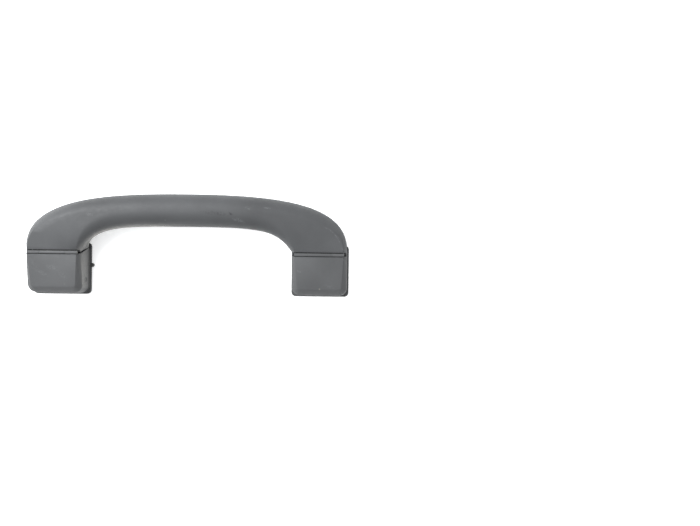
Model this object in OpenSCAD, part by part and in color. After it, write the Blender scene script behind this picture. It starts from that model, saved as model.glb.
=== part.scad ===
// Rigid grab handle with a hinged screw cover on each foot.
// +X runs along the handle, +Y from the feet towards the arch, and +Z out of the mounting plane.
// The origin is midway between the two fixing holes, on the mounting plane. All sizes in millimetres.

/* [Handle] */
// Distance between the two fixing holes
hole_spacing = 200; // [190:1:220]
// Height of the arch's outer edge above the line of the fixing holes
arch_y = 59.9; // [57:0.1:64]
// Width of the grip at mid-span, in the plane of the arch
tube_w = 24.7; // [22:0.1:26]
// How far the front of the grip leans out from the feet, in degrees
lean = 13; // [10:0.5:15]
// Wall of the two grip shells
shell_wall = 2.4; // [2:0.1:3]

/* [Feet] */
// Width of the screw cover at its front
cover_w = 41; // [39:0.1:41.2]
// Width of the screw cover at its back edge
cover_base_w = 42.4; // [41:0.1:43]
// Wall of the screw cover
cover_wall = 2; // [1.6:0.1:2.2]
// Width of the back plate
plate_w = 44.4; // [43.5:0.1:46]
// Lower edge of the back plate, measured from the fixing hole
plate_low = 16.8; // [16.5:0.1:18]
// Upper edge of the back plate, measured from the fixing hole
plate_high = 23; // [22:0.1:26]
// Thickness of the back plate
plate_t = 2.5; // [2.5:0.1:2.8]

/* [Hinge] */
// Diameter of the hinge barrel
barrel_d = 2.6; // [2.4:0.1:2.8]
// Diameter of the hinge pin
pin_d = 1.2; // [1:0.1:1.4]
// Distance of the hinge line from the fixing hole
hinge_y = 15.2; // [15.1:0.05:15.3]
// Height of the hinge line over the mounting plane
hinge_z = 21.2; // [21.1:0.05:21.3]

/* [Fixings] */
// Thread diameter of the mounting screws
screw_d = 6; // [5:0.5:6]
// Length of the mounting screws under the head
screw_len = 11; // [10:0.5:11]
// Bore of the fixing holes in the back plate's steel sleeves
hole_d = 6.6; // [6.4:0.1:7]
// Width of the steel strap inside the grip
strap_w = 14; // [12:0.5:14]
// Thickness of the steel strap
strap_t = 2.5; // [2:0.1:2.5]

/* [Hidden] */
$fn = 48;

charcoal = [0.24, 0.24, 0.25];
dark_nylon = [0.13, 0.13, 0.14];
steel = [0.62, 0.63, 0.65];
zinc = [0.72, 0.70, 0.60];
eps = 0.01;

// The seam between a foot and its leg, seen from the side
foot_x = hole_spacing / 2;
cover_top = 13.5;                       // upper end of the cover's front face
leg_start = 16.9;                       // lower end of the leg's front face
cover_low = 14.9;                       // lower end of the cover's front face
cover_base_low = 16.3;                  // lower end of the cover's back edge
cover_front_top = 22.5;                 // cover's front height at its upper end
cover_front_low = 18.9;                 // and at its lower end
cover_gap = 0.3;                        // cover's back edge over the back plate
groove_floor = 19.4;
seam_rise = 0.296;                      // how much the side seam runs up per mm of depth
seam_gap = 0.4;

// The grip's outline, as one curve outside and one inside
leg_front_z = 22.8;
leg_back_z = plate_t + cover_gap;
tube_back_z = 8;
leg_out = foot_x + 20.8;
leg_bulge = 2.1;                        // how much the legs' outer sides spread above the seam
leg_in = foot_x - 20.5;
shoulder_reach = 38.5;                    // pull of the outer curve up the leg
shoulder_along = 66;                  // and along the arch
inner_y = arch_y - tube_w;
outer_curve = [[leg_out, leg_start], [leg_out + leg_bulge, leg_start + shoulder_reach],
    [shoulder_along, arch_y], [0, arch_y]];
inner_curve = [[leg_in, leg_start], [leg_in - 11.9, inner_y - 1.1],
    [leg_in - 22.6, inner_y], [0, inner_y]];
rings = 20;                             // sections from a leg to mid-span
arc_step = 10;                          // degrees between the points of a section
parting = 0.05;                         // half of the gap between the shells

// Inside the feet
block_w = 34;
block_low = 11;
block_corner = 4;
block_top_z = 16.5;
lip_z = 14.1;
eye_d = 18;
eye_z = plate_t;                        // the strap's eyes lie on the back plates
seat_z = eye_z + strap_t;
washer_d = 14;
washer_t = 1.2;
head_d = 11.5;
head_h = 3.5;
tip_lift = 0.3;                         // the raised screw's tip over the back plate
screw_z = plate_t + tip_lift + screw_len;
ramp_start = 9.5;                       // the strap leaves the eye
ramp_end = 19;                          // and reaches the middle of the block's tongue
tongue_w = 28;
tongue_low = 7.3;
tongue_mid = 11.5;
tongue_end = 22.5;
bend_start = 21;                        // above here the strap turns into the arch
bend_t = 0.3;                           // and follows the grip from here
post_gap = 0.6;                         // between the shells' posts and the strap
sleeve_d = 10;
knuckle_w = 18.8;                       // the foot block's knuckle, between the cover's two
barrel_half = 18.3;
knuckle_gap = 0.3;
plate_screw_x = 13;
plate_screw_y = -8;
core_pin_x = 4.5;
core_pin_y = 19.5;
shell_screw_at = [0.56, 0.88];          // places of the shell screws along each half

function smooth(s) = let(c = max(0, min(1, s))) c * c * (3 - 2 * c);
function blend(a, b, s) = a + (b - a) * s;
function bezier(p, t) = pow(1 - t, 3) * p[0] + 3 * t * pow(1 - t, 2) * p[1]
    + 3 * t * t * (1 - t) * p[2] + pow(t, 3) * p[3];

// One section of the grip at t, from 0 at the leg's foot to 1 at mid-span
function outer_at(t) = bezier(outer_curve, t);
function inner_at(t) = bezier(inner_curve, 0.12 * t + 0.88 * t * t);
function middle_at(t) = (outer_at(t) + inner_at(t)) / 2;
function across_at(t) = (outer_at(t) - inner_at(t)) / norm(outer_at(t) - inner_at(t));
function half_w_at(t) = norm(outer_at(t) - inner_at(t)) / 2;
function front_z_at(t) = leg_front_z + (middle_at(t)[1] - leg_start) * tan(lean);
function back_z_at(t) = blend(leg_back_z, tube_back_z, smooth(t / 0.6));
function mid_z_at(t) = (front_z_at(t) + back_z_at(t)) / 2;
function half_d_at(t) = (front_z_at(t) - back_z_at(t)) / 2;
function squareness_at(t) = blend(8, 2.6, smooth(t * 1.1));
function power(v, e) = sign(v) * pow(abs(v), e);

// A point of a section at an angle, on the outside (inset 0) or inside the wall
function section_point(t, a, inset, drop) = let(
    e = 2 / squareness_at(t),
    u = (half_w_at(t) - inset) * power(cos(a), e),
    w = (half_d_at(t) - inset) * power(sin(a), e),
    p = middle_at(t) + across_at(t) * u)
    [p[0], p[1] - drop, mid_z_at(t) + w];
function mirrored(p, side) = [side * p[0], p[1], p[2]];

// Stations along the whole grip: [side, t, drop], the end ones below the seam
stations = concat([[-1, 0, 5]], [for (k = [-rings:rings]) [k < 0 ? -1 : 1, 1 - abs(k) / rings, 0]],
    [[1, 0, 5]]);

// The profile of one shell: round the outside from a0 to a1, and back along the inside
function shell_ring(s, a0, a1, shift) = [
    for (a = [a0:arc_step:a1]) mirrored(section_point(s[1], a, 0, s[2]), s[0])
        + [0, 0, edge(a, a0, a1, shift)],
    for (a = [a1:-arc_step:a0]) mirrored(section_point(s[1], a, shell_wall, s[2]), s[0])
        + [0, 0, edge(a, a0, a1, shift)]];
function edge(a, a0, a1, shift) = a == a0 || a == a1 ? shift : 0;

// A closed solid through rings of points, which turn right-handed about the way the rings go
module swept(rows) {
    n = len(rows[0]);
    m = len(rows);
    sides = [for (r = [0:m - 2], k = [0:n - 1]) let(
        a = r * n + k, b = r * n + (k + 1) % n)
        each [[a, b + n, b], [a, a + n, b + n]]];
    half = n / 2;
    first = [for (k = [0:half - 2]) each [[k, k + 1, n - 1 - k], [k + 1, n - 2 - k, n - 1 - k]]];
    last = [for (f = first) [f[0], f[2], f[1]] + [1, 1, 1] * (m - 1) * n];
    polyhedron(points = [for (r = rows) each r], faces = concat(sides, first, last), convexity = 8);
}

// Everything below the side seam, moved up the handle by shift
module below_seam(shift) {
    translate([0, shift, 0]) rotate([90, 0, 90]) translate([0, 0, -foot_x - 60])
        linear_extrude(2 * foot_x + 120)
            polygon([[cover_top - 0.5 * seam_rise, cover_front_top + 0.5],
                [cover_top + cover_front_top * seam_rise, 0], [-60, 0],
                [-60, 50], [cover_top - 0.5 * seam_rise, 50]]);
}

// The groove that the hinge barrel lies in
module groove() {
    translate([-foot_x - 60, cover_top, groove_floor])
        cube([2 * foot_x + 120, leg_start - cover_top, 20]);
}

module shell_trim() {
    difference() {
        children();
        below_seam(seam_gap);
        groove();
    }
}

module at_shell_screws() {
    for (side = [-1, 1], t = shell_screw_at)
        translate([side * middle_at(t)[0], middle_at(t)[1], 0]) children();
}

module grip_front_shell() {
    color(charcoal) difference() {
        union() {
            shell_trim() swept([for (s = stations) shell_ring(s, 0, 180, parting)]);
            for (side = [-1, 1], t = shell_screw_at)
                translate([side * middle_at(t)[0], middle_at(t)[1], mid_z_at(t) + strap_t / 2 + post_gap])
                    cylinder(r = 3.5, h = half_d_at(t) - strap_t / 2 - post_gap - shell_wall * 0.6);
        }
        for (side = [-1, 1], t = shell_screw_at)
            translate([side * middle_at(t)[0], middle_at(t)[1], mid_z_at(t)])
                cylinder(r = 1.52, h = 7);
    }
}

module grip_rear_shell() {
    color(charcoal) difference() {
        union() {
            shell_trim() swept([for (s = stations) shell_ring(s, 180, 360, -parting)]);
            for (side = [-1, 1], t = shell_screw_at)
                translate([side * middle_at(t)[0], middle_at(t)[1], back_z_at(t) + shell_wall * 0.6])
                    cylinder(r = 3.9, h = half_d_at(t) - strap_t / 2 - post_gap - shell_wall * 0.6);
        }
        for (side = [-1, 1], t = shell_screw_at)
            translate([side * middle_at(t)[0], middle_at(t)[1], 0]) {
                cylinder(r = 1.7, h = mid_z_at(t));
                cylinder(r = 3, h = mid_z_at(t) - 5);
            }
    }
}

// Shell screws: pan heads sunk in the rear shell, tips in the front shell's posts
module shell_screws() {
    color(zinc) for (side = [-1, 1], t = shell_screw_at)
        translate([side * middle_at(t)[0], middle_at(t)[1], mid_z_at(t) - 5]) difference() {
            union() {
                translate([0, 0, -2]) cylinder(r = 2.8, h = 2);
                cylinder(r = 1.5, h = 11);
            }
            translate([0, 0, -2.1]) cylinder(r = 1.1, h = 1.3, $fn = 6);
        }
}

// The strap's middle line: flat in the eye, up a ramp into the tongue, then round into the grip
function strap_z(y) = blend(eye_z + strap_t / 2, tongue_mid,
    smooth((y - ramp_start) / (ramp_end - ramp_start)));
strap_foot = [for (y = [0, 5, ramp_start, 12, 14.5, 17, ramp_end, bend_start]) [foot_x, y, strap_z(y)]];
strap_grip = [for (k = [bend_t * rings:rings]) let(t = k / rings)
    [middle_at(t)[0], middle_at(t)[1], mid_z_at(t)]];
bend_curve = [[foot_x, bend_start, tongue_mid], [foot_x, bend_start + 5, tongue_mid],
    strap_grip[0] - (strap_grip[1] - strap_grip[0]) * 1.5, strap_grip[0]];
strap_bend = [for (s = [0.25, 0.5, 0.75]) bezier(bend_curve, s)];
strap_half = concat(strap_foot, strap_bend, strap_grip);
strap_last = len(strap_half) - 1;
strap_line = concat(strap_half, [for (k = [1:strap_last]) mirrored(strap_half[strap_last - k], -1)]);

// The ring of the strap at its kth point, square to the line in plan
function strap_ring(k) = let(
    d = strap_line[min(k + 1, 2 * strap_last)] - strap_line[max(k - 1, 0)],
    n = [-d[1], d[0]] / norm([d[0], d[1]]) * strap_w / 2,
    c = strap_line[k], h = strap_t / 2)
    [c + [n[0], n[1], h], c + [-n[0], -n[1], h], c + [-n[0], -n[1], -h], c + [n[0], n[1], -h]];

module grip_core() {
    color(steel) difference() {
        union() {
            swept([for (k = [0:2 * strap_last]) strap_ring(k)]);
            for (side = [-1, 1])
                translate([side * foot_x, 0, eye_z]) cylinder(d = eye_d, h = strap_t);
        }
        for (side = [-1, 1]) {
            translate([side * foot_x, 0, 0]) cylinder(d = screw_d + 1, h = 12);
            for (x = [-core_pin_x, core_pin_x])
                translate([side * foot_x + x, core_pin_y, 0]) cylinder(r = 1.54, h = 30);
        }
        at_shell_screws() cylinder(r = 1.7, h = 40);
    }
}

// Spring pins that hold each foot block on the strap
module core_pins() {
    color(steel) for (side = [-1, 1], x = [-core_pin_x, core_pin_x])
        translate([side * foot_x + x, core_pin_y, tongue_low + 0.1])
            cylinder(r = 1.5, h = block_top_z - tongue_low - 0.2);
}

// A slab with round corners, from low to high along Y
module slab(w, low, high, r, h) {
    translate([-w / 2 + r, low, 0]) cube([w - 2 * r, high - low, h]);
    translate([-w / 2, low + r, 0]) cube([w, high - low - 2 * r, h]);
    for (x = [-w / 2 + r, w / 2 - r], y = [low + r, high - r])
        translate([x, y, 0]) cylinder(r = r, h = h);
}

// Puts a right-hand foot's piece at its place; the left foot's is its mirror image
module at_foot(side) {
    mirror([side < 0 ? 1 : 0, 0, 0]) translate([foot_x, 0, 0]) children();
}

module along_x(from, to, y, z, r) {
    translate([from, y, z]) rotate([0, 90, 0]) cylinder(r = r, h = to - from);
}

module strap_slot() {
    clear = 0.35;
    deep = strap_t / 2 + clear;
    spare = 0.3;
    translate([0, 0, plate_t - eps]) cylinder(d = eye_d + 0.6, h = strap_t + clear);
    rotate([90, 0, 90]) translate([0, 0, -strap_w / 2 - 3.5]) linear_extrude(strap_w + 5)
        polygon([[0, 1], [ramp_start + 2, 1], [15, strap_z(15) - deep - spare],
            [ramp_end, tongue_mid - deep - spare], [30, tongue_mid - deep - spare],
            [30, tongue_mid + deep + 4.5], [ramp_end, tongue_mid + deep + spare],
            [16.5, strap_z(16.5) + deep + spare], [ramp_start, seat_z + clear + spare], [0, seat_z + clear]]);
}

// Foot block: takes the screw pocket, the tongue in the leg and the hinge's fixed knuckle
module foot_block(side) {
    color(dark_nylon) at_foot(side) difference() {
        union() {
            translate([0, 0, plate_t]) slab(block_w, -block_low, 13, block_corner, block_top_z - plate_t);
            translate([-tongue_w / 2, 12, tongue_low])
                cube([tongue_w, tongue_end - 12, block_top_z - tongue_low]);
            translate([-knuckle_w / 2, hinge_y - 0.9, 12]) cube([knuckle_w, 1.8, hinge_z - 12]);
            along_x(-knuckle_w / 2, knuckle_w / 2, hinge_y, hinge_z, barrel_d / 2);
        }
        along_x(-knuckle_w, knuckle_w, hinge_y, hinge_z, pin_d / 2 + 0.02);
        strap_slot();
        translate([0, 0, seat_z]) cylinder(d = washer_d + 1.6, h = lip_z - seat_z);
        cylinder(d = head_d + 1.1, h = 30);
        for (x = [-core_pin_x, core_pin_x])
            translate([x, core_pin_y, 0]) cylinder(r = 1.54, h = 30);
        for (x = [-plate_screw_x, plate_screw_x])
            translate([x, plate_screw_y, 0]) cylinder(r = 1.52, h = plate_t + 9);
    }
}

// Back plate; the left one has a locating nub on the edge that faces the other foot
module back_plate(side) {
    color(charcoal) at_foot(side) difference() {
        union() {
            slab(plate_w, -plate_low, plate_high, 3, plate_t);
            if (side < 0) translate([-plate_w / 2 - 0.3, 5.6, 0]) cylinder(r = 1.5, h = plate_t);
        }
        translate([0, 0, -1]) cylinder(d = sleeve_d + 0.04, h = plate_t + 2);
        for (x = [-plate_screw_x, plate_screw_x])
            translate([x, plate_screw_y, 0]) {
                translate([0, 0, -1]) cylinder(r = 1.6, h = plate_t + 2);
                translate([0, 0, -eps]) cylinder(r1 = 3.2, r2 = 1.6, h = 1.6);
            }
    }
}

// Steel sleeve in each back plate, so that the screw clamps metal
module plate_sleeve(side) {
    color(zinc) at_foot(side) difference() {
        cylinder(d = sleeve_d, h = plate_t);
        translate([0, 0, -1]) cylinder(d = hole_d, h = plate_t + 2);
    }
}

// Countersunk screws from the back plates into the foot blocks
module plate_screws() {
    color(zinc) for (side = [-1, 1], x = [-plate_screw_x, plate_screw_x])
        translate([side * foot_x + x, plate_screw_y, 0.1]) difference() {
            union() {
                cylinder(r1 = 3, r2 = 1.5, h = 1.5);
                cylinder(r = 1.5, h = plate_t + 8);
            }
            translate([0, 0, -1]) cylinder(r = 1, h = 1.9, $fn = 6);
        }
}

// The upper back corners of the cover's sides are cut off, to clear the back plate as it swings
module swing_clearance() {
    rotate([90, 0, 90]) translate([0, 0, -cover_base_w]) linear_extrude(2 * cover_base_w)
        polygon([[17.1, -1], [17.1, leg_back_z], [18.9, 4.3], [30, 4.3], [30, -1]]);
}

// The cover's outer form, or its hollow when inset is the wall
module cover_form(inset) {
    corner = 7 - inset;
    round_r = 3.7 - inset;
    side_r = 2.2 - inset * 0.9;
    slope = (cover_front_top - cover_front_low) / (cover_top + cover_low);
    base = inset > 0 ? -1 : leg_back_z;
    hull() {
        for (x = [-1, 1]) {
            translate([x * (cover_w / 2 - inset - corner), -cover_low + inset + corner,
                cover_front_low - inset - round_r + 0.3]) rotate_extrude($fn = 32) intersection() {
                    translate([corner - round_r, 0]) circle(r = round_r, $fn = 24);
                    translate([0, -round_r]) square(2 * corner);
                }
            translate([x * (cover_w / 2 - inset - side_r), 30,
                cover_front_top - inset - side_r + 16.5 * slope]) rotate([90, 0, 0])
                cylinder(r = side_r, h = 0.1, $fn = 24);
            translate([x * (cover_base_w / 2 - inset - corner), -cover_base_low + inset + corner, base])
                cylinder(r = corner, h = 0.1, $fn = 32);
            translate([x * (cover_base_w / 2 - inset) - 0.05, 29.9, base]) cube([0.1, 0.1, 0.1]);
        }
    }
}

// Screw cover: front, two sides and lower end, open at the back and towards the leg
module screw_cover(side) {
    dimple_r = 3;
    dimple_deep = 0.35;
    dimple_z = 9.5;
    dimple_y = -6.5;
    side_x = cover_base_w / 2 - (cover_base_w - cover_w) / 2 * dimple_z / cover_front_low;
    color(charcoal) at_foot(side) difference() {
        union() {
            difference() {
                intersection() {
                    cover_form(0);
                    translate([-foot_x, 0, 0]) below_seam(0);
                }
                cover_form(cover_wall);
                translate([-foot_x, 0, 0]) groove();
                swing_clearance();
            }
            for (x = [-1, 1]) {
                a = knuckle_w / 2 + knuckle_gap;
                from = x < 0 ? -barrel_half : a;
                translate([from, cover_top - 1, hinge_z - 1])
                    cube([barrel_half - a, hinge_y - cover_top + 0.2, 0.9]);
                along_x(from, from + barrel_half - a, hinge_y, hinge_z, barrel_d / 2);
            }
        }
        along_x(-barrel_half - 1, barrel_half + 1, hinge_y, hinge_z, pin_d / 2 + 0.05);
        translate([-side_x - dimple_r + dimple_deep, dimple_y, dimple_z]) sphere(r = dimple_r);
    }
}

module cover_hinge_pin(side) {
    color(steel) at_foot(side) along_x(-barrel_half + 0.3, barrel_half - 0.3, hinge_y, hinge_z, pin_d / 2);
}

// Mounting screw, drawn raised into its pocket
module mounting_screw(side) {
    color(zinc) at_foot(side) translate([0, 0, screw_z]) difference() {
        union() {
            cylinder(d = head_d, h = head_h - 0.8);
            translate([0, 0, head_h - 0.8]) cylinder(d1 = head_d, d2 = head_d - 1.6, h = 0.8);
            translate([0, 0, -screw_len + 0.8]) cylinder(d = screw_d, h = screw_len);
            translate([0, 0, -screw_len]) cylinder(d1 = screw_d - 1.6, d2 = screw_d, h = 0.8);
        }
        translate([0, 0, 0.9]) cylinder(d = 5.8, h = head_h, $fn = 6);
    }
}

module screw_washer(side) {
    color(zinc) at_foot(side) translate([0, 0, screw_z - washer_t]) difference() {
        cylinder(d = washer_d, h = washer_t);
        translate([0, 0, -1]) cylinder(d = screw_d + 0.2, h = washer_t + 2);
    }
}

grip_front_shell();
grip_rear_shell();
grip_core();
shell_screws();
core_pins();
foot_block(-1);  // foot_block_left
foot_block(1);  // foot_block_right
back_plate(-1);  // back_plate_left
back_plate(1);  // back_plate_right
plate_sleeve(-1);  // plate_sleeve_left
plate_sleeve(1);  // plate_sleeve_right
plate_screws();
screw_cover(-1);  // screw_cover_left
screw_cover(1);  // screw_cover_right
cover_hinge_pin(-1);  // cover_hinge_pin_left
cover_hinge_pin(1);  // cover_hinge_pin_right
mounting_screw(-1);  // mounting_screw_left
mounting_screw(1);  // mounting_screw_right
screw_washer(-1);  // screw_washer_left
screw_washer(1);  // screw_washer_right
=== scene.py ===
import math
import bmesh
import bpy
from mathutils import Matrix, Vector


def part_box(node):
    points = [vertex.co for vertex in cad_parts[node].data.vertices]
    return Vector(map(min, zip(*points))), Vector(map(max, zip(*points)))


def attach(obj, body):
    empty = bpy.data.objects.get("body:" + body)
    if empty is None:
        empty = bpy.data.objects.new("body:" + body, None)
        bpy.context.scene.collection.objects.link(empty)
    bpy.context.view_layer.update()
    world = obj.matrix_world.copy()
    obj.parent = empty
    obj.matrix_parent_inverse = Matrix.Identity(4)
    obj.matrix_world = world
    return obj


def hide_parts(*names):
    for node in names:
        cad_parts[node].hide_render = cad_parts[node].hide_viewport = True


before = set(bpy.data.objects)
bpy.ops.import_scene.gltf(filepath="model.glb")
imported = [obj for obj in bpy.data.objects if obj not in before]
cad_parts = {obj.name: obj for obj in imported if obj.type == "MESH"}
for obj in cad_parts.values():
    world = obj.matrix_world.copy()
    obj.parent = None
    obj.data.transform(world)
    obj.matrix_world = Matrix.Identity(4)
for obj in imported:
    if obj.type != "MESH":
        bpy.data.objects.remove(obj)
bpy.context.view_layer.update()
mm = 0.001
print("frame loaded")


# general helpers

def deselectAll():
    if bpy.context.mode != "OBJECT":
        bpy.ops.object.mode_set(mode="OBJECT")
    bpy.ops.object.select_all(action="DESELECT")


def makeActive(piece):
    deselectAll()
    piece.select_set(True)
    bpy.context.view_layer.objects.active = piece


def startEdit(piece, kind):
    makeActive(piece)
    bpy.ops.object.mode_set(mode="EDIT")
    bpy.ops.mesh.select_mode(type=kind)
    bpy.ops.mesh.select_all(action="DESELECT")


def endEdit():
    bpy.ops.object.mode_set(mode="OBJECT")


def selectWhere(piece, kind, test):
    # picks the faces, edges or verts whose middle and direction pass the test, in edit mode
    bpy.ops.mesh.select_all(action="DESELECT")
    shape = bmesh.from_edit_mesh(piece.data)
    items = {"FACE": shape.faces, "EDGE": shape.edges, "VERT": shape.verts}[kind]
    count = 0
    for item in items:
        if kind == "FACE":
            hit = test(item.calc_center_median(), item.normal)
        elif kind == "EDGE":
            first, second = item.verts[0].co, item.verts[1].co
            hit = test((first + second) / 2, (second - first).normalized())
        else:
            hit = test(item.co)
        if hit:
            item.select_set(True)
            count += 1
    shape.select_flush_mode()
    bmesh.update_edit_mesh(piece.data)
    return count


def placeInMesh(piece):
    makeActive(piece)
    bpy.ops.object.transform_apply(location=True, rotation=True, scale=True)


def applyModifiers(piece):
    makeActive(piece)
    for modifier in list(piece.modifiers):
        bpy.ops.object.modifier_apply(modifier=modifier.name)


def cleanNormals(piece, gap=1e-6):
    startEdit(piece, "VERT")
    bpy.ops.mesh.select_all(action="SELECT")
    bpy.ops.mesh.remove_doubles(threshold=gap)
    bpy.ops.mesh.normals_make_consistent(inside=False)
    endEdit()


def smoothShade(piece, degrees=32):
    makeActive(piece)
    bpy.ops.object.shade_smooth_by_angle(angle=math.radians(degrees))


def mirroredCopy(piece, name):
    other = piece.copy()
    other.data = piece.data.copy()
    other.name = name
    other.data.name = name
    bpy.context.collection.objects.link(other)
    makeActive(other)
    other.scale = (-1, 1, 1)
    bpy.ops.object.transform_apply(location=False, rotation=False, scale=True)
    startEdit(other, "VERT")
    bpy.ops.mesh.select_all(action="SELECT")
    bpy.ops.mesh.normals_make_consistent(inside=False)
    endEdit()
    return other


def addNamed(name):
    piece = bpy.context.active_object
    piece.name = name
    piece.data.name = name
    return piece


def addBox(name, low, high):
    # corners in millimetres
    deselectAll()
    middle = [(a + b) / 2 * mm for a, b in zip(low, high)]
    bpy.ops.mesh.primitive_cube_add(size=1, location=middle)
    box = addNamed(name)
    box.scale = [(b - a) * mm for a, b in zip(low, high)]
    placeInMesh(box)
    return box


def addRod(name, middle, low, high, radius, top=None, sides=48):
    # a cylinder or cone from low to high along Z
    deselectAll()
    place = (middle[0] * mm, middle[1] * mm, (low + high) / 2 * mm)
    upper = radius if top is None else top
    bpy.ops.mesh.primitive_cone_add(vertices=sides, radius1=radius * mm, radius2=upper * mm,
                                    depth=(high - low) * mm, location=place)
    rod = addNamed(name)
    placeInMesh(rod)
    return rod


def bevelWhere(piece, test, offset, segments=3):
    startEdit(piece, "EDGE")
    if selectWhere(piece, "EDGE", test):
        bpy.ops.mesh.bevel(offset=offset * mm, segments=segments, affect="EDGES", clamp_overlap=False)
    endEdit()


def combine(piece, others, operation):
    for other in others:
        join = piece.modifiers.new("join", "BOOLEAN")
        join.operation = operation
        join.solver = "MANIFOLD"
        join.object = other
        applyModifiers(piece)
        bpy.data.objects.remove(other)


def joinPieces(piece, others):
    makeActive(piece)
    for other in others:
        other.select_set(True)
    bpy.ops.object.join()


def roundEdges(piece, width, segments=2, degrees=40):
    edges = piece.modifiers.new("edges", "BEVEL")
    edges.limit_method = "ANGLE"
    edges.angle_limit = math.radians(degrees)
    edges.width = width * mm
    edges.segments = segments
    edges.use_clamp_overlap = True
    applyModifiers(piece)


def finishPiece(piece, body, slotName, material, *nodes):
    piece.data.materials.clear()
    piece.data.materials.append(material)
    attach(piece, body)
    if nodes:
        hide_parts(*nodes)


# materials

def newMaterial(name):
    material = bpy.data.materials.new(name)
    material.use_nodes = True
    tree = material.node_tree
    return material, tree.nodes, tree.links, tree.nodes["Principled BSDF"]


def addNode(nodes, kind, **values):
    node = nodes.new(kind)
    for key, value in values.items():
        setattr(node, key, value)
    return node


def noiseNode(nodes, links, coords, scale, detail=4.0, rough=0.55):
    node = addNode(nodes, "ShaderNodeTexNoise")
    node.inputs["Scale"].default_value = scale
    node.inputs["Detail"].default_value = detail
    node.inputs["Roughness"].default_value = rough
    links.new(coords, node.inputs["Vector"])
    return node.outputs["Fac"]


def rampNode(nodes, links, source, low, high, lowValue=0.0, highValue=1.0):
    node = addNode(nodes, "ShaderNodeMapRange")
    node.inputs["From Min"].default_value = low
    node.inputs["From Max"].default_value = high
    node.inputs["To Min"].default_value = lowValue
    node.inputs["To Max"].default_value = highValue
    links.new(source, node.inputs["Value"])
    return node.outputs["Result"]


def mathNode(nodes, links, operation, first, second):
    node = addNode(nodes, "ShaderNodeMath", operation=operation)
    for socket, value in zip(node.inputs, (first, second)):
        if isinstance(value, (int, float)):
            socket.default_value = value
        else:
            links.new(value, socket)
    return node.outputs[0]


def mixColour(nodes, links, factor, first, second):
    node = addNode(nodes, "ShaderNodeMix", data_type="RGBA")
    links.new(factor, node.inputs["Factor"])
    for socket, value in ((node.inputs[6], first), (node.inputs[7], second)):
        if isinstance(value, tuple):
            socket.default_value = (*value, 1)
        else:
            links.new(value, socket)
    return node.outputs[2]


# a mark for rubbed scuffs, and for the painted highlight on the right leg's crease: a soft stripe from one
# point to another, seen from the front, broken up by noise
def markMask(nodes, links, coords, start, end, width, scale):
    middle = ((start[0] + end[0]) / 2 * mm, (start[1] + end[1]) / 2 * mm)
    length = math.dist(start, end) * mm + width * mm
    angle = math.atan2(end[1] - start[1], end[0] - start[0])
    shift = addNode(nodes, "ShaderNodeVectorMath", operation="SUBTRACT")
    shift.inputs[1].default_value = (middle[0], middle[1], 0)
    links.new(coords, shift.inputs[0])
    turn = addNode(nodes, "ShaderNodeMapping")
    turn.inputs["Rotation"].default_value = (0, 0, -angle)
    turn.inputs["Scale"].default_value = (1, 1, 0)
    links.new(shift.outputs[0], turn.inputs["Vector"])
    fit = addNode(nodes, "ShaderNodeVectorMath", operation="MULTIPLY")
    fit.inputs[1].default_value = (2 / length, 2 / (width * mm), 0)
    links.new(turn.outputs[0], fit.inputs[0])
    size = addNode(nodes, "ShaderNodeVectorMath", operation="LENGTH")
    links.new(fit.outputs[0], size.inputs[0])
    body = rampNode(nodes, links, size.outputs["Value"], 1.0, 0.35)
    speckle = rampNode(nodes, links, noiseNode(nodes, links, coords, scale, 3), 0.42, 0.62)
    return mathNode(nodes, links, "MULTIPLY", body, speckle)


plasticSet = {
    "grainScale": 2300,     # cells of the moulded grain, per metre
    "grainDepth": 0.00006,
    "fleckScale": 420,
    "dark": 0.86,           # the broad clouds, as shares of the colour
    "light": 1.12,
    "fleck": 1.7,
    "rub": 1.6,
    "lightMark": 2.6,
    "darkMark": 0.35,
    "archDarkFrom": 0.06,    # the stretch of the arch that is darker in colour, out to these distances from the middle
    "archDarkTo": 0.1,
    "archDark": 0.84,
}


def tinted(colour, share):
    return tuple(channel * share for channel in colour)


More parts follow.
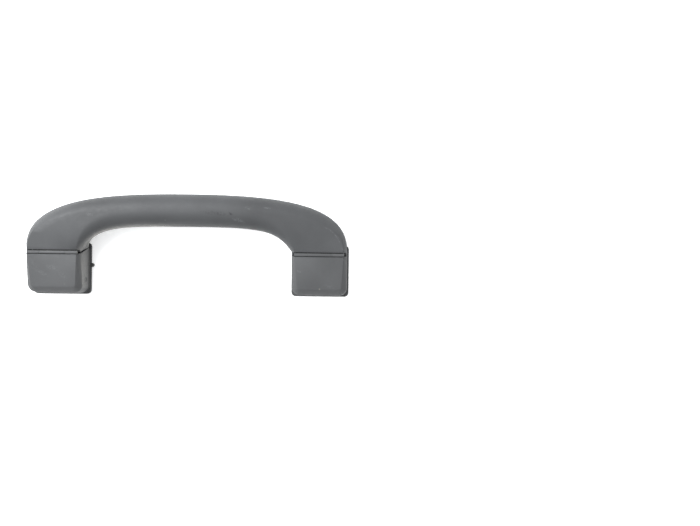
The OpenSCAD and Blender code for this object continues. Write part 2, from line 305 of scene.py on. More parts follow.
def charcoalPlastic(name, colour, roughness, lightMarks=(), darkMarks=(), specks=(), archDark=False):
    p = plasticSet
    material, nodes, links, shader = newMaterial(name)
    coords = addNode(nodes, "ShaderNodeTexCoord").outputs["Object"]
    clouds = rampNode(nodes, links, noiseNode(nodes, links, coords, 28, 3), 0.3, 0.7)
    base = mixColour(nodes, links, clouds, tinted(colour, p["dark"]), tinted(colour, p["light"]))
    flecks = noiseNode(nodes, links, coords, p["fleckScale"], 5, 0.7)
    fleckMask = rampNode(nodes, links, flecks, 0.62, 0.8, 0, 0.35)
    base = mixColour(nodes, links, fleckMask, base, tinted(colour, p["fleck"]))
    # long faint rubs along the piece
    stretch = addNode(nodes, "ShaderNodeMapping")
    stretch.inputs["Scale"].default_value = (0.22, 1.0, 1.0)
    stretch.inputs["Rotation"].default_value = (0, 0, 0.5)
    links.new(coords, stretch.inputs["Vector"])
    streaks = noiseNode(nodes, links, stretch.outputs[0], 330, 6, 0.75)
    rubs = rampNode(nodes, links, streaks, 0.6, 0.78, 0, 0.3)
    patches = rampNode(nodes, links, noiseNode(nodes, links, coords, 46, 2), 0.5, 0.66)
    rubMask = mathNode(nodes, links, "MULTIPLY", rubs, patches)
    base = mixColour(nodes, links, rubMask, base, tinted(colour, p["rub"]))
    for marks, grain, share in ((lightMarks, 900, p["lightMark"]), (darkMarks, 700, p["darkMark"])):
        for start, end, width, strength in marks:
            mask = markMask(nodes, links, coords, start, end, width, grain)
            mask = mathNode(nodes, links, "MULTIPLY", mask, strength)
            base = mixColour(nodes, links, mask, base, tinted(colour, share))
    for place, width, speckColour in specks:
        mask = markMask(nodes, links, coords, place, place, width, 5)
        base = mixColour(nodes, links, mask, base, speckColour)
    # darker colour across the middle of the arch, fading out towards the legs
    if archDark:
        split = addNode(nodes, "ShaderNodeSeparateXYZ")
        links.new(coords, split.inputs[0])
        away = mathNode(nodes, links, "ABSOLUTE", split.outputs["X"], 0)
        away = rampNode(nodes, links, away, p["archDarkFrom"], p["archDarkTo"], p["archDark"], 1.0)
        shade = addNode(nodes, "ShaderNodeVectorMath", operation="SCALE")
        links.new(base, shade.inputs[0])
        links.new(away, shade.inputs["Scale"])
        base = shade.outputs[0]
    links.new(base, shader.inputs["Base Color"])
    rough = rampNode(nodes, links, flecks, 0.3, 0.75, roughness - 0.07, roughness + 0.09)
    rough = mathNode(nodes, links, "SUBTRACT", rough, mathNode(nodes, links, "MULTIPLY", rubMask, 0.3))
    links.new(rough, shader.inputs["Roughness"])
    shader.inputs["Specular IOR Level"].default_value = 0.3
    cells = addNode(nodes, "ShaderNodeTexVoronoi", feature="SMOOTH_F1")
    cells.inputs["Scale"].default_value = p["grainScale"]
    cells.inputs["Smoothness"].default_value = 0.6
    links.new(coords, cells.inputs["Vector"])
    height = mathNode(nodes, links, "ADD", cells.outputs["Distance"], noiseNode(nodes, links, coords, 900, 3))
    bump = addNode(nodes, "ShaderNodeBump")
    bump.inputs["Strength"].default_value = 0.35
    bump.inputs["Distance"].default_value = p["grainDepth"]
    links.new(height, bump.inputs["Height"])
    links.new(bump.outputs["Normal"], shader.inputs["Normal"])
    return material


def metalFinish(name, colour, tint, roughness, scratchScale):
    material, nodes, links, shader = newMaterial(name)
    coords = addNode(nodes, "ShaderNodeTexCoord").outputs["Object"]
    stretch = addNode(nodes, "ShaderNodeMapping")
    stretch.inputs["Scale"].default_value = (1.0, 0.15, 1.0)
    links.new(coords, stretch.inputs["Vector"])
    scratches = noiseNode(nodes, links, stretch.outputs[0], scratchScale, 5, 0.7)
    clouds = noiseNode(nodes, links, coords, 160, 4)
    base = mixColour(nodes, links, rampNode(nodes, links, clouds, 0.35, 0.68), colour, tint)
    links.new(base, shader.inputs["Base Color"])
    rough = rampNode(nodes, links, scratches, 0.3, 0.7, roughness - 0.08, roughness + 0.12)
    links.new(rough, shader.inputs["Roughness"])
    shader.inputs["Metallic"].default_value = 1.0
    bump = addNode(nodes, "ShaderNodeBump")
    bump.inputs["Strength"].default_value = 0.2
    bump.inputs["Distance"].default_value = 0.00002
    links.new(scratches, bump.inputs["Height"])
    links.new(bump.outputs["Normal"], shader.inputs["Normal"])
    return material


# marks and specks are at X, Y in millimetres on the front of the piece
gripMarks = {
    "light": [((36, 41.5), (44.5, 39), 3.4, 0.5), ((59, 49.6), (65.5, 49.2), 1.8, 0.45),
              ((46, 49.5), (49.5, 48.8), 3.0, 0.35), ((-71, 43.5), (-68, 42.8), 3.2, 0.35),
              ((-93, 41), (-88, 43), 2.4, 0.2),
              # painted highlight along the crease of the right leg, where its edge catches the light
              ((118.1, 17.9), (116.3, 23.1), 1.0, 0.3), ((116.4, 22.8), (114.1, 27.1), 1.0, 0.34),
              ((114.3, 26.8), (111.2, 31.3), 1.1, 0.36), ((111.4, 31), (107.6, 34.4), 1.2, 0.34),
              ((107.9, 34.2), (102.8, 36.2), 1.4, 0.25)],
    "dark": [((13, 46.2), (36, 44), 4.2, 0.5), ((33.8, 46.4), (35.8, 43.2), 2.4, 0.9)],
    "specks": [((-13.9, 39.6), 1.5, (0.42, 0.42, 0.40))],
}
coverMarks = {
    "left": [((-103.5, 4.5), (-96, 2.5), 4.5, 0.2), ((-113, 2), (-103, -3), 4.0, 0.16),
             ((-95, 0), (-90, -4.5), 4.0, 0.14), ((-116, 10), (-112, 4), 3.2, 0.12)],
    "right": [((84, 3.2), (86, 2.2), 2.0, 0.4), ((104, -8), (112, -9), 3.6, 0.15)],
}

gripPlastic = charcoalPlastic("charcoal grip plastic", (0.0425, 0.0435, 0.0452), 0.55,
                              gripMarks["light"], gripMarks["dark"], gripMarks["specks"], True)
coverPlasticLeft = charcoalPlastic("charcoal cover plastic left", (0.0455, 0.0462, 0.0475), 0.58,
                                   coverMarks["left"], (), [((-91.2, -8.9), 1.5, (0.3, 0.3, 0.28))])
coverPlasticRight = charcoalPlastic("charcoal cover plastic right", (0.0455, 0.0462, 0.0475), 0.58,
                                    coverMarks["right"], (), [((100.5, -10.5), 1.6, (0.32, 0.3, 0.24))])
platePlastic = charcoalPlastic("charcoal plate plastic", (0.038, 0.0388, 0.0396), 0.55)
blockNylon = charcoalPlastic("charcoal block nylon", (0.042, 0.0428, 0.0442), 0.5)
strapSteel = metalFinish("strap steel", (0.42, 0.42, 0.43), (0.30, 0.29, 0.28), 0.38, 900)
zincPlate = metalFinish("zinc plate", (0.63, 0.58, 0.42), (0.58, 0.59, 0.60), 0.3, 1400)
print("materials made")


# the grip: one sheet of quads for each shell, laid along the arch and closed into a hollow shell

seamSet = {
    "front": 22.5,          # how far out the covers and legs come at the seam
    "level": 14.45,
    "slope": 0.296,         # the seam runs down the sides to the back
    "grooveFrom": 19.1,     # further out, the leg stands back for the hinge
    "grooveRun": 0.7,
}
gripSet = {
    "out": 120.8,                       # outer edge of the legs at the seam
    "bulge": 2.1,                       # and how far it spreads above the seam
    "reach": 38.5,
    "along": 66.0,
    "inAt": 79.5,                       # inner edge of the legs at the seam
    "start": 16.9,                      # lower end of the legs' fronts
    "top": 59.9,
    "tube": 24.7,
    "frontLow": 22.8,                   # front of the leg at the seam
    "frontHigh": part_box("grip_front_shell")[1].z / mm,
    "backLow": 2.8,
    "backHigh": 8.0,
    "wall": 2.4,
    "parting": 0.05,
    "edge": 0.3,                        # rounding of the shells' open edges
    "rings": 44,
    "innerPull": ((11.9, 1.1), 22.6),   # the inner curve's pulls, in from the leg and below the arch
    "innerSpread": 0.35,
    "below": 60,                        # the legs run straight on past the seam
    "screwsAt": (0.56, 0.88),
    # posts and holes of the shell screws: radius, then each end's distance from the back or the middle
    "post": (3.9, 1.2, 1.85),
    "sink": (3.0, 3, 5),
    "hole": (1.7, 6, 1),
    "arcSteps": 11,
    "seamSearch": (-0.12, 0.35, 26),    # the shares the seam lies between, and how often they are halved
}
# each corner of the section: its reach along the face, its reach down the side and its fullness, at the
# seam and at mid-span, with the shares of the way between which it changes
cornerSet = {
    "frontOut": ((2.8, 12, 0, 0.45), (4.8, 10.8, 0, 0.55), (1.22, 2.0, 0.2, 0.6)),
    "frontIn": ((2.6, 11.6, 0, 0.8), (4.4, 10.2, 0, 0.9), (1.3, 2.0, 0, 0.6)),
    "backOut": ((3, 9.5, 0, 1), (3, 9.5, 0, 1), (2.0, 2.0, 0, 1)),
    "backIn": ((3.5, 10.5, 0, 0.35), (3.5, 10.5, 0, 0.35), (2.0, 2.0, 0, 1)),
}


def smoothStep(value):
    clipped = min(1.0, max(0.0, value))
    return clipped * clipped * (3 - 2 * clipped)


def between(first, second, share):
    return first + (second - first) * share


def bezierPoint(points, t):
    weights = ((1 - t) ** 3, 3 * t * (1 - t) ** 2, 3 * t * t * (1 - t), t ** 3)
    return tuple(sum(w * p[axis] for w, p in zip(weights, points)) for axis in (0, 1))


def gripEdges(t):
    # the outer and inner edge of the grip in plan, at t from the seam to mid-span
    g = gripSet
    innerTop = g["top"] - g["tube"]
    outer = ((g["out"], g["start"]), (g["out"] + g["bulge"], g["start"] + g["reach"]),
             (g["along"], g["top"]), (0, g["top"]))
    (pullIn, pullDown), along = g["innerPull"]
    inner = ((g["inAt"], g["start"]), (g["inAt"] - pullIn, innerTop - pullDown),
             (g["inAt"] - along, innerTop), (0, innerTop))
    spread = g["innerSpread"]
    return bezierPoint(outer, t), bezierPoint(inner, spread * t + (1 - spread) * t * t)


def gripSection(t):
    outer, inner = gripEdges(max(t, 0))
    width = math.dist(outer, inner)
    middle = ((outer[0] + inner[0]) / 2, (outer[1] + inner[1]) / 2)
    across = ((outer[0] - inner[0]) / width, (outer[1] - inner[1]) / width)
    g = gripSet
    rise = (middle[1] - g["start"]) / (g["top"] - g["tube"] / 2 - g["start"])
    front = between(g["frontLow"], g["frontHigh"], rise)
    back = between(g["backLow"], g["backHigh"], smoothStep(t / 0.4))
    section = {"middle": middle, "across": across, "half": width / 2, "front": front, "back": back,
               "mid": (front + back) / 2}
    for corner, values in cornerSet.items():
        section[corner] = [between(start, end, smoothStep((t - first) / (last - first)))
                           for start, end, first, last in values]
    return section


def cornerArc(sideU, faceZ, corner, inset, signU, signZ, steps, towardsFace):
    reach, drop = max(corner[0] - inset, 0.3), max(corner[1] - inset, 0.3)
    power = 2 / corner[2]
    points = []
    for step in range(steps + 1):
        angle = math.pi / 2 * (step if towardsFace else steps - step) / steps
        u = abs(sideU) - reach + reach * math.cos(angle) ** power
        z = faceZ - signZ * drop * (1 - math.sin(angle) ** power)
        points.append((signU * u, z))
    return points


def halfSection(section, frontHalf, inset, rounded):
    # the outline of the front or rear half of a section, from one parting edge to the other
    g = gripSet
    side = section["half"] - inset
    sign = 1 if frontHalf else -1
    face = section["front"] - inset if frontHalf else section["back"] + inset
    rim = section["mid"] + sign * g["parting"]
    firstU, first, second = (1, "frontOut", "frontIn") if frontHalf else (-1, "backIn", "backOut")
    edge = g["edge"] if rounded else 0.0
    rimLine = [(side - edge, rim), (side - edge * 0.3, rim + sign * edge * 0.3), (side, rim + sign * edge)]
    points = [(firstU * u, z) for u, z in rimLine]
    arc = cornerArc(side, face, section[first], inset, firstU, sign, g["arcSteps"], True)
    back = cornerArc(side, face, section[second], inset, -firstU, sign, g["arcSteps"], False)
    for share in (0.33, 0.67):
        points.append((firstU * side, between(points[2][1], arc[0][1], share)))
    points += arc
    for share in (0.2, 0.4, 0.6, 0.8):
        points.append((between(arc[-1][0], back[0][0], share), face))
    points += back
    for share in (0.33, 0.67):
        points.append((-firstU * side, between(back[-1][1], rim + sign * edge, share)))
    points += [(-firstU * u, z) for u, z in reversed(rimLine)]
    return points


def skinPoint(t, index, frontHalf, inset, rounded):
    section = gripSection(t)
    u, z = halfSection(section, frontHalf, inset, rounded)[index]
    x = section["middle"][0] + section["across"][0] * u
    y = section["middle"][1] + section["across"][1] * u
    return x, y + min(t, 0) * gripSet["below"], z


def seamHeight(z):
    # where the leg ends, seen from the side: a groove at the front, then a slope down to the back
    slope = seamSet["level"] + (seamSet["front"] - z) * seamSet["slope"]
    return between(slope, gripSet["start"], smoothStep((z - seamSet["grooveFrom"]) / seamSet["grooveRun"]))


def seamShare(index, frontHalf, inset, rounded, lift):
    low, high, halvings = gripSet["seamSearch"]
    for _ in range(halvings):
        share = (low + high) / 2
        x, y, z = skinPoint(share, index, frontHalf, inset, rounded)
        if y < seamHeight(z) + lift:
            low = share
        else:
            high = share
    return (low + high) / 2


def gripShell(name, frontHalf):
    g = gripSet
    count = len(halfSection(gripSection(0.5), frontHalf, 0, True))
    # the end rings: lift above the seam, and inset of the outside
    ends = [(0, g["wall"] / 2, True), (0, g["edge"], False), (g["edge"] * 0.3, g["edge"] * 0.3, False),
            (g["edge"], 0, False)]
    rows = []
    for lift, inset, shut in ends:
        outside = []
        for k in range(count):
            share = seamShare(k, frontHalf, inset, not shut, lift)
            outside.append(skinPoint(share, k, frontHalf, inset, not shut))
        if shut:
            rows.append(outside + outside[::-1])
            continue
        inside = []
        for k in range(count):
            share = seamShare(k, frontHalf, g["wall"], False, lift)
            inside.append(skinPoint(share, k, frontHalf, g["wall"], False))
        rows.append(outside + inside[::-1])
    starts = [(seamShare(k, frontHalf, 0, True, g["edge"]),
               seamShare(k, frontHalf, g["wall"], False, g["edge"])) for k in range(count)]
    for ring in range(1, g["rings"] + 1):
        share = ring / g["rings"]
        outside = [skinPoint(between(starts[k][0], 1, share), k, frontHalf, 0, True)
                   for k in range(count)]
        inside = [skinPoint(between(starts[k][1], 1, share), k, frontHalf, g["wall"], False)
                  for k in range(count)]
        rows.append(outside + inside[::-1])
    half = [[(-x, y, z) for x, y, z in row] for row in rows]
    rows = half + rows[-2::-1]
    deselectAll()
    columns = 2 * count
    bpy.ops.mesh.primitive_grid_add(x_subdivisions=columns, y_subdivisions=len(rows) - 1, size=1)
    shell = addNamed(name)
    for vertex in shell.data.vertices:
        column = round((vertex.co.x + 0.5) * columns)
        row = round((vertex.co.y + 0.5) * (len(rows) - 1))
        x, y, z = rows[row][column % columns]
        vertex.co = (x * mm, y * mm, z * mm)
    cleanNormals(shell, 2e-6)
    return shell


def screwPosts():
    # the rear shell's posts, and the holes that the shell screws are sunk in
    posts, holes = [], []
    postRadius, postUp, postDown = gripSet["post"]
    sinkRadius, sinkOut, sinkDown = gripSet["sink"]
    holeRadius, holeDown, holeUp = gripSet["hole"]
    for place in gripSet["screwsAt"]:
        section = gripSection(place)
        back, mid = section["back"], section["mid"]
        for side in (-1, 1):
            middle = (side * section["middle"][0], section["middle"][1])
            posts.append(addRod("post", middle, back + postUp, mid - postDown, postRadius))
            holes.append(addRod("sink", middle, back - sinkOut, mid - sinkDown, sinkRadius))
            holes.append(addRod("hole", middle, mid - holeDown, mid + holeUp, holeRadius))
    return posts, holes


gripFront = gripShell("gripFrontShell", True)
smoothShade(gripFront, 28)
finishPiece(gripFront, "handle", "grip_plastic", gripPlastic, "grip_front_shell")
gripRear = gripShell("gripRearShell", False)
posts, holes = screwPosts()
combine(gripRear, posts, "UNION")
combine(gripRear, holes, "DIFFERENCE")
smoothShade(gripRear, 28)
finishPiece(gripRear, "handle", "grip_plastic", gripPlastic, "grip_rear_shell")
print("grip shells made")


# screw covers

coverSet = {
    "middle": 100.0,
    "front": 41.1,
    "base": 42.0,
    "top": 13.5,            # upper edge of the front
    "spare": 12.0,          # the blank stands this far past it
    "low": 14.9,
    "baseLow": 16.05,
    "frontTop": seamSet["front"],
    "frontLow": 18.9,
    "back": 2.8,
    "wall": 2.0,
    "corner": 5.9,
    "lowRound": 4.0,
    "sideRound": 2.3,
    "lip": 0.5,
    "lipHigh": 3.8,
    "dimple": (76.9, -5.5, 9.5),
    "dimpleRound": 3.2,
    "edge": 0.25,
    "wedgeLow": (12.54, -1),    # the cut that clears the back plate, as y and z of its slope's two edges
    "wedgeHigh": (18.9, 4.3),
    "wedgeReach": 30,
}
hingeSet = {
    "y": 15.2,
    "z": 21.2,
    "half": 1.3,            # half of the barrel's width and height
    "round": 0.75,
    "inner": 9.4,           # the block's knuckle reaches this far from the middle
    "gap": 0.12,
    "outer": 18.8,
    "edge": 0.06,
    "webShort": 0.2,        # the webs under the knuckles stop this far from their ends
}


def hingeBar(name, low, high):
    h = hingeSet
    middle = coverSet["middle"]
    bar = addBox(name, (middle + low, h["y"] - h["half"], h["z"] - h["half"]),
                 (middle + high, h["y"] + h["half"], h["z"] + h["half"]))
    bevelWhere(bar, lambda place, way: abs(way.x) > 0.9, h["round"], 4)
    bevelWhere(bar, lambda place, way: abs(way.x) < 0.2, h["edge"], 1)
    return bar


def screwCover(name):
    c = coverSet
    h = hingeSet
    deselectAll()
    bpy.ops.mesh.primitive_cube_add(size=1, location=(c["middle"] * mm, 0, c["frontTop"] / 2 * mm))
    cover = addNamed(name)
    placeInMesh(cover)
    # the blank stands above the seam and is cut back to it once the rims are round
    lean = (c["frontTop"] - c["frontLow"]) / (c["top"] + c["low"])
    for vertex in cover.data.vertices:
        isFront = vertex.co.z > c["frontTop"] / 2 * mm
        side = 1 if vertex.co.x > c["middle"] * mm else -1
        if vertex.co.y > 0:
            y = c["top"] + c["spare"]
            z = c["frontTop"] + lean * c["spare"]
        else:
            y = -(c["low"] if isFront else c["baseLow"])
            z = c["frontLow"]
        z = z if isFront else c["back"]
        width = between(c["front"], c["base"], (c["frontTop"] - z) / (c["frontTop"] - c["back"]))
        vertex.co = ((c["middle"] + side * width / 2) * mm, y * mm, z * mm)
    startEdit(cover, "FACE")
    selectWhere(cover, "FACE", lambda middle, normal: normal.y > 0.7 or normal.z < -0.7)
    bpy.ops.mesh.delete(type="FACE")
    bpy.ops.mesh.select_mode(type="EDGE")
    selectWhere(cover, "EDGE", lambda middle, way: abs(way.z) > 0.9 and middle.y < 0)
    bpy.ops.mesh.bevel(offset=c["corner"] * mm, segments=10, affect="EDGES", clamp_overlap=False)
    # the front's rim is rounded more along its lower end than at its sides
    frontLevel = (c["frontLow"] - 0.5) * mm
    selectWhere(cover, "EDGE", lambda middle, way: middle.z > frontLevel and abs(way.x) > 0.05
                and middle.y < 0)
    bpy.ops.transform.edge_bevelweight(value=1.0)
    selectWhere(cover, "EDGE", lambda middle, way: middle.z > frontLevel and abs(way.x) <= 0.05
                and abs(middle.x - c["middle"] * mm) > 15 * mm)
    bpy.ops.transform.edge_bevelweight(value=c["sideRound"] / c["lowRound"])
    endEdit()
    rounding = cover.modifiers.new("round", "BEVEL")
    rounding.limit_method = "WEIGHT"
    rounding.width = c["lowRound"] * mm
    rounding.segments = 6
    rounding.profile = 0.3
    rounding.use_clamp_overlap = False
    applyModifiers(cover)
    startEdit(cover, "VERT")
    bpy.ops.mesh.select_all(action="SELECT")
    bpy.ops.mesh.bisect(plane_co=(0, c["top"] * mm, c["frontTop"] * mm),
                        plane_no=(0, 1, seamSet["slope"]), clear_outer=True)
    endEdit()
    cleanNormals(cover)
    thick = cover.modifiers.new("wall", "SOLIDIFY")
    thick.thickness = c["wall"] * mm
    thick.offset = -1
    thick.use_even_offset = False
    applyModifiers(cover)
    roundEdges(cover, c["edge"], 2, 28)
    # the lip round the base, and the cut-off corners that clear the back plate
    startEdit(cover, "VERT")
    for height in (c["lipHigh"] - 0.15, c["lipHigh"]):
        bpy.ops.mesh.select_all(action="SELECT")
        bpy.ops.mesh.bisect(plane_co=(0, 0, height * mm), plane_no=(0, 0, 1))
    endEdit()
    for vertex in cover.data.vertices:
        away = Vector((vertex.co.x - c["middle"] * mm, vertex.co.y)).normalized()
        flat = vertex.normal.xy
        if vertex.co.z < (c["lipHigh"] - 0.1) * mm and flat.dot(away) > 0.3 and vertex.normal.y < 0.6:
            vertex.co.xy += flat.normalized() * c["lip"] * mm
    (lowY, lowZ), (highY, highZ), reach = c["wedgeLow"], c["wedgeHigh"], c["wedgeReach"]
    wedge = addBox("wedge", (c["middle"] - reach, lowY, lowZ), (c["middle"] + reach, reach, highZ))
    for vertex in wedge.data.vertices:
        if vertex.co.y < highY * mm and vertex.co.z > 0:
            vertex.co.y = highY * mm
    knuckles = []
    for low, high in ((-h["outer"], -h["inner"] - h["gap"]), (h["inner"] + h["gap"], h["outer"])):
        knuckles.append(hingeBar("knuckle", low, high))
        webLow, webHigh = c["middle"] + low + h["webShort"], c["middle"] + high - h["webShort"]
        knuckles.append(addBox("web", (webLow, c["top"] - 1, h["z"] - 1), (webHigh, h["y"], h["z"] - 0.1)))
    deselectAll()
    bpy.ops.mesh.primitive_uv_sphere_add(segments=48, ring_count=32, radius=c["dimpleRound"] * mm,
                                         location=[value * mm for value in c["dimple"]])
    combine(cover, [addNamed("dimple"), wedge], "DIFFERENCE")
    joinPieces(cover, knuckles)
    smoothShade(cover, 30)
    return cover


coverRight = screwCover("screwCoverRight")
coverLeft = mirroredCopy(coverRight, "screwCoverLeft")
finishPiece(coverRight, "cover_right", "cover_plastic", coverPlasticRight, "screw_cover_right")
finishPiece(coverLeft, "cover_left", "cover_plastic", coverPlasticLeft, "screw_cover_left")
print("covers made")


# foot blocks, back plates and mounting screws

footSet = {
    "middle": 100.0,
    "blockWide": 34.0,
    "blockLow": -11.0,
    "blockHigh": 13.0,
    "blockTop": 16.5,
    "blockCorner": 4.0,
    "blockEdge": 0.3,
    "tongue": (14.0, 5.0, 7.3, 22.5),   # half its width, its start, its underside and its end
    "web": (0.9, 12.0),                 # half the thickness and the foot of the wall under the knuckle
    "pocket": 7.8,
    "eye": 7.4,
    "mouth": 6.15,
    "seat": 5.0,
    "lip": 14.1,
    "plateWide": 44.4,
    "plateLow": -16.8,
    "plateHigh": 23.0,
    "plateThick": 2.5,
    "plateCorner": 3.2,
    "plateEdge": 0.4,
    "nub": (0.5, 5.6, 1.5),             # how far out it stands, its height up the plate and its radius
    "screwsAt": ((-13, -8), (13, -8)),
    "screwHole": (1.52, 11.5),          # radius and end, in the block
    "screwSink": (3.2, 1.6),            # radii of the countersink, in the plate
    "pinsAt": ((-4.5, 19.5), (4.5, 19.5)),
    "pinHole": 1.54,
    "sleeve": 5.02,
}


def footBlock(name):
    f, h = footSet, hingeSet
    middle = f["middle"]
    block = addBox(name, (middle - f["blockWide"] / 2, f["blockLow"], f["plateThick"]),
                   (middle + f["blockWide"] / 2, f["blockHigh"], f["blockTop"]))
    bevelWhere(block, lambda place, way: abs(way.z) > 0.9, f["blockCorner"], 8)
    half, start, low, end = f["tongue"]
    webHalf, webFoot = f["web"]
    webWide = h["inner"] - h["webShort"]
    extras = [addBox("tongue", (middle - half, start, low), (middle + half, end, f["blockTop"] - 0.01)),
              addBox("web", (middle - webWide, h["y"] - webHalf, webFoot),
                     (middle + webWide, h["y"] + webHalf, h["z"]))]
    combine(block, extras, "UNION")
    cutters = [addRod("pocket", (middle, 0), f["seat"], f["lip"], f["pocket"]),
               addRod("mouth", (middle, 0), f["lip"] - 1, f["blockTop"] + 1, f["mouth"]),
               addRod("eye", (middle, 0), f["plateThick"] - 1, f["seat"] + 0.5, f["eye"])]
    radius, end = f["screwHole"]
    cutters += [addRod("hole", (middle + x, y), f["plateThick"] - 1, end, radius) for x, y in f["screwsAt"]]
    cutters += [addRod("hole", (middle + x, y), 0, 30, f["pinHole"]) for x, y in f["pinsAt"]]
    combine(block, cutters, "DIFFERENCE")
    roundEdges(block, f["blockEdge"], 2, 50)
    joinPieces(block, [hingeBar("knuckle", -h["inner"], h["inner"])])
    smoothShade(block, 30)
    return block


def backPlate(name, side):
    f = footSet
    middle = side * f["middle"]
    plate = addBox(name, (middle - f["plateWide"] / 2, f["plateLow"], 0),
                   (middle + f["plateWide"] / 2, f["plateHigh"], f["plateThick"]))
    bevelWhere(plate, lambda place, way: abs(way.z) > 0.9, f["plateCorner"], 8)
    bevelWhere(plate, lambda place, way: abs(way.z) < 0.1, f["plateEdge"], 3)
    if side < 0:
        out, up, radius = f["nub"]
        nub = addRod("nub", (middle + f["plateWide"] / 2 + out, up), 0, f["plateThick"], radius)
        bevelWhere(nub, lambda place, way: abs(way.z) < 0.1, f["plateEdge"], 3)
        combine(plate, [nub], "UNION")
    wide, narrow = f["screwSink"]
    cutters = [addRod("bore", (middle, 0), -1, 4, f["sleeve"])]
    for x, y in f["screwsAt"]:
        cutters.append(addRod("hole", (middle + x, y), -1, 4, narrow))
        cutters.append(addRod("sink", (middle + x, y), -0.01, wide - narrow, wide, narrow))
    combine(plate, cutters, "DIFFERENCE")
    smoothShade(plate, 30)
    return plate


screwSet = {
    "under": 13.8,          # height of the head's underside
    "head": 5.75,
    "headHigh": 3.5,
    "socket": 2.9,
    "core": 2.45,
    "thread": 3.0,
    "pitch": 1.0,
    "turns": 9,
    "length": 11.0,
    "flank": (0.42, 0.58),  # the thread's crest, as shares of the pitch
    "threadFrom": 0.4,      # above the tip
    "tip": 0.6,             # roundings
    "rim": 0.7,
    "shoulder": 0.15,
    "socketFrom": 0.9,      # the socket and its countersink, above the head's underside
    "sinkFrom": 3.1,
}


def mountingScrew(name):
    s = screwSet
    middle = (footSet["middle"], 0)
    under = s["under"]
    low = under - s["length"]
    deselectAll()
    bpy.ops.mesh.primitive_plane_add(size=1)
    thread = addNamed(name)
    startEdit(thread, "VERT")
    bpy.ops.mesh.select_all(action="SELECT")
    bpy.ops.mesh.delete(type="ONLY_FACE")
    endEdit()
    # the plane's rim becomes one tooth of the thread, which the screw modifier winds up
    first, last = s["flank"]
    corners = ((s["core"], 0), (s["thread"], first), (s["thread"], last), (s["core"], 1))
    loop = sorted(thread.data.vertices, key=lambda v: math.atan2(v.co.y, v.co.x))
    for vertex, (radius, height) in zip(loop, corners):
        vertex.co = (radius * mm, 0, height * s["pitch"] * mm)
    startEdit(thread, "EDGE")
    selectWhere(thread, "EDGE", lambda place, way: abs(way.z) > 0.99 and place.x < (s["core"] + 0.1) * mm)
    bpy.ops.mesh.delete(type="EDGE")
    endEdit()
    winding = thread.modifiers.new("winding", "SCREW")
    winding.axis = "Z"
    winding.angle = math.tau
    winding.screw_offset = s["pitch"] * mm
    winding.iterations = s["turns"]
    winding.steps = 36
    winding.render_steps = 36
    winding.use_merge_vertices = True
    winding.merge_threshold = 0.00001
    applyModifiers(thread)
    cleanNormals(thread, 1e-5)
    thread.location = (middle[0] * mm, 0, (low + s["threadFrom"]) * mm)
    placeInMesh(thread)
    shank = addRod("shank", middle, low, under + 0.2, s["core"] + 0.06)
    bevelWhere(shank, lambda place, way: abs(way.z) < 0.1 and place.z < (low + 1) * mm, s["tip"], 2)
    head = addRod("head", middle, under, under + s["headHigh"], s["head"], sides=64)
    bevelWhere(head, lambda place, way: abs(way.z) < 0.1 and place.z > (under + 1) * mm, s["rim"], 4)
    bevelWhere(head, lambda place, way: abs(way.z) < 0.1 and place.z < (under + 0.01) * mm, s["shoulder"], 2)
    sinkLow = under + s["sinkFrom"]
    socket = addRod("socket", middle, under + s["socketFrom"], under + 5, s["socket"], sides=6)
    sink = addRod("sink", middle, sinkLow, sinkLow + 0.6, s["socket"] - 0.1, s["socket"] + 0.5)
    combine(head, [socket, sink], "DIFFERENCE")
    joinPieces(thread, [shank, head])
    smoothShade(thread, 30)
    return thread


blockRight = footBlock("footBlockRight")
blockLeft = mirroredCopy(blockRight, "footBlockLeft")
finishPiece(blockRight, "handle", "block_nylon", blockNylon, "foot_block_right")
finishPiece(blockLeft, "handle", "block_nylon", blockNylon, "foot_block_left")
finishPiece(backPlate("backPlateRight", 1), "handle", "plate_plastic", platePlastic, "back_plate_right")
finishPiece(backPlate("backPlateLeft", -1), "handle", "plate_plastic", platePlastic, "back_plate_left")
screwRight = mountingScrew("mountingScrewRight")
screwLeft = mirroredCopy(screwRight, "mountingScrewLeft")
finishPiece(screwRight, "screw_right", "zinc_plate", zincPlate, "mounting_screw_right")
finishPiece(screwLeft, "screw_left", "zinc_plate", zincPlate, "mounting_screw_left")
print("feet made")

# CAD nodes that keep their own shape
ownShapes = (
    (strapSteel, ("grip_core", "core_pins", "cover_hinge_pin_left", "cover_hinge_pin_right")),
    (zincPlate, ("shell_screws", "plate_screws", "plate_sleeve_left", "plate_sleeve_right",
                 "screw_washer_left", "screw_washer_right")),
)
for metal, nodeNames in ownShapes:
    for nodeName in nodeNames:
        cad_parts[nodeName].data.materials.clear()
        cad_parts[nodeName].data.materials.append(metal)


# stage, light and camera

cameraSet = {"place": (0.1232, 0.0095, 0.537), "roll": 0.66, "lens": 35.4}
sheetSet = {
    "size": 8,
    "below": 0.0002,
    "dark": (0.9, 0.9, 0.893),
    "light": (0.93, 0.93, 0.925),
    "rough": 0.7,
    "glow": 0.33,           # thin white paper on a bright table glows a little
}
lightSet = {
    "key": {"place": (-0.5, 0.3, 0.75), "target": (0, 0, 0), "size": (0.6, 0.5),
            "power": 15.5, "colour": (0.97, 0.985, 1.0)},
    "fill": {"place": (0.7, -0.5, 1.3), "target": (0, 0, 0), "size": (1.2, 1.2),
             "power": 3.5, "colour": (1.0, 0.99, 0.97)},
    # the sheet's light on the left foot's inner side
    "bounce": {"place": (-0.047, 0, 0.0004), "target": (-0.047, 0, 1), "size": (0.05, 0.045),
               "power": 0.021, "colour": (1.0, 0.975, 0.9)},
}
skySet = {"colour": (0.96, 0.98, 1.0, 1), "strength": 1.36, "alongX": -0.5, "alongY": 0.62}


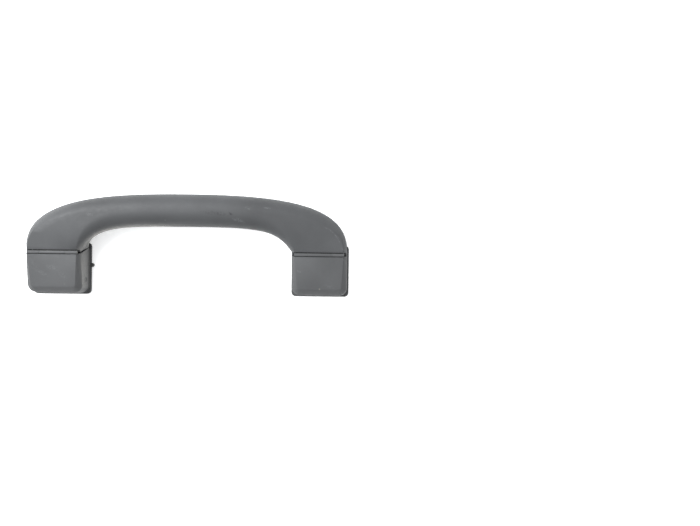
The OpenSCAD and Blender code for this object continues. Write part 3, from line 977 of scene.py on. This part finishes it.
def addStage():
    deselectAll()
    bpy.ops.mesh.primitive_plane_add(size=sheetSet["size"], location=(0, 0, -sheetSet["below"]))
    floor = addNamed("floor")
    material, nodes, links, shader = newMaterial("pale sheet")
    coords = addNode(nodes, "ShaderNodeTexCoord").outputs["Object"]
    clouds = rampNode(nodes, links, noiseNode(nodes, links, coords, 9, 3), 0.3, 0.7)
    base = mixColour(nodes, links, clouds, sheetSet["dark"], sheetSet["light"])
    links.new(base, shader.inputs["Base Color"])
    links.new(base, shader.inputs["Emission Color"])
    shader.inputs["Roughness"].default_value = sheetSet["rough"]
    shader.inputs["Emission Strength"].default_value = sheetSet["glow"]
    floor.data.materials.append(material)


def addLight(name, place, target, size, power, colour):
    lamp = bpy.data.lights.new(name, "AREA")
    lamp.shape = "RECTANGLE"
    lamp.size, lamp.size_y = size
    lamp.energy = power
    lamp.color = colour
    light = bpy.data.objects.new(name, lamp)
    bpy.context.collection.objects.link(light)
    light.location = place
    light.rotation_euler = (Vector(target) - Vector(place)).to_track_quat("-Z", "Y").to_euler()
    return light


def addSky():
    world = bpy.data.worlds.new("studio")
    bpy.context.scene.world = world
    world.use_nodes = True
    nodes, links = world.node_tree.nodes, world.node_tree.links
    nodes["Background"].inputs["Color"].default_value = skySet["colour"]
    way = addNode(nodes, "ShaderNodeSeparateXYZ")
    links.new(addNode(nodes, "ShaderNodeTexCoord").outputs["Generated"], way.inputs[0])
    glow = mathNode(nodes, links, "MULTIPLY", way.outputs["Y"], skySet["alongY"])
    glow = mathNode(nodes, links, "ADD", glow, skySet["strength"])
    alongX = mathNode(nodes, links, "MULTIPLY", way.outputs["X"], skySet["alongX"])
    glow = mathNode(nodes, links, "ADD", alongX, glow)
    links.new(glow, nodes["Background"].inputs["Strength"])


def addCamera():
    camera = bpy.data.objects.new("camera", bpy.data.cameras.new("camera"))
    bpy.context.collection.objects.link(camera)
    camera.location = cameraSet["place"]
    camera.rotation_euler = (0, 0, math.radians(cameraSet["roll"]))
    camera.data.lens = cameraSet["lens"]
    camera.data.clip_start = 0.01
    bpy.context.scene.camera = camera


addStage()
lights = {name: addLight(name, **values) for name, values in lightSet.items()}
lights["bounce"].visible_camera = False
addSky()
bpy.context.scene.view_settings.view_transform = "Standard"
addCamera()
print("stage, light and camera set")
